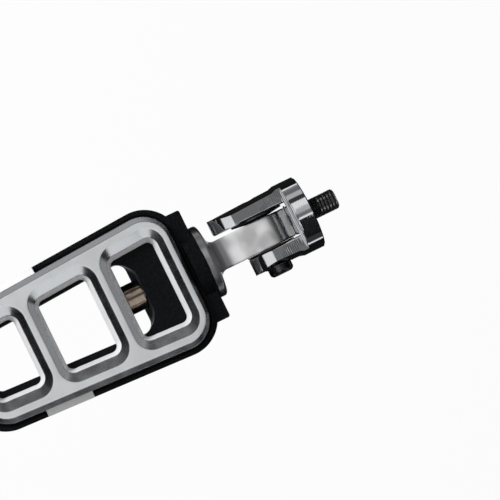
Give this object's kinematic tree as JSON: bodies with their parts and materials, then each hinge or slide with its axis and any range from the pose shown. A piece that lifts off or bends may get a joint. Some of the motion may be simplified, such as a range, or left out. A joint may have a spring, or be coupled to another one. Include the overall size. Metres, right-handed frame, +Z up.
{
  "type": "folding motorcycle footpeg on clevis adapter",
  "caption": "Chromed clevis adapter with a pinned folding footpeg: flanged tongue, black core body and a silver tread frame with open windows.",
  "frame": {"origin": "centre of the adapter's rear seating face, on the axis of its turned collar", "axes": "+X out of the rear seating face, towards the motorcycle; -X outboard along the peg; +Y across, towards the longer ear; +Z up, the side the foot rests on"},
  "size_m": [0.2185, 0.0804, 0.0402],
  "materials": {
    "chrome": "polished chrome over fine turned rings",
    "zinc_steel": "bright zinc-plated steel",
    "dark_steel": "black oxide steel, smooth",
    "black_polymer": "black bearing plastic",
    "satin_nickel": "satin nickel-plated steel",
    "black_coat": "satin black coating on cast metal",
    "satin_aluminium": "bead-blasted silver aluminium"
  },
  "bodies": {
    "adapter": {"clevis": "chrome", "mounting_screw": "zinc_steel", "mounting_lock_washer": "zinc_steel", "seat_pin": "zinc_steel", "pivot_screw": "dark_steel", "pivot_washer": "dark_steel", "pivot_sleeve": "zinc_steel", "thrust_washer": "black_polymer", "spring_washer": "dark_steel"},
    "peg": {"peg_mount": "satin_nickel", "peg_bolt": "dark_steel", "flange_pin": "zinc_steel", "core_body": "black_coat", "tread_frame": "satin_aluminium", "frame_screws": "dark_steel"}
  },
  "joints": [
    {"name": "peg_fold", "type": "hinge", "parent": "adapter", "child": "peg", "pos_m": [-0.026, 0, 0], "axis": [0, 1, 0], "range_deg": [0, 85]}
  ]
}
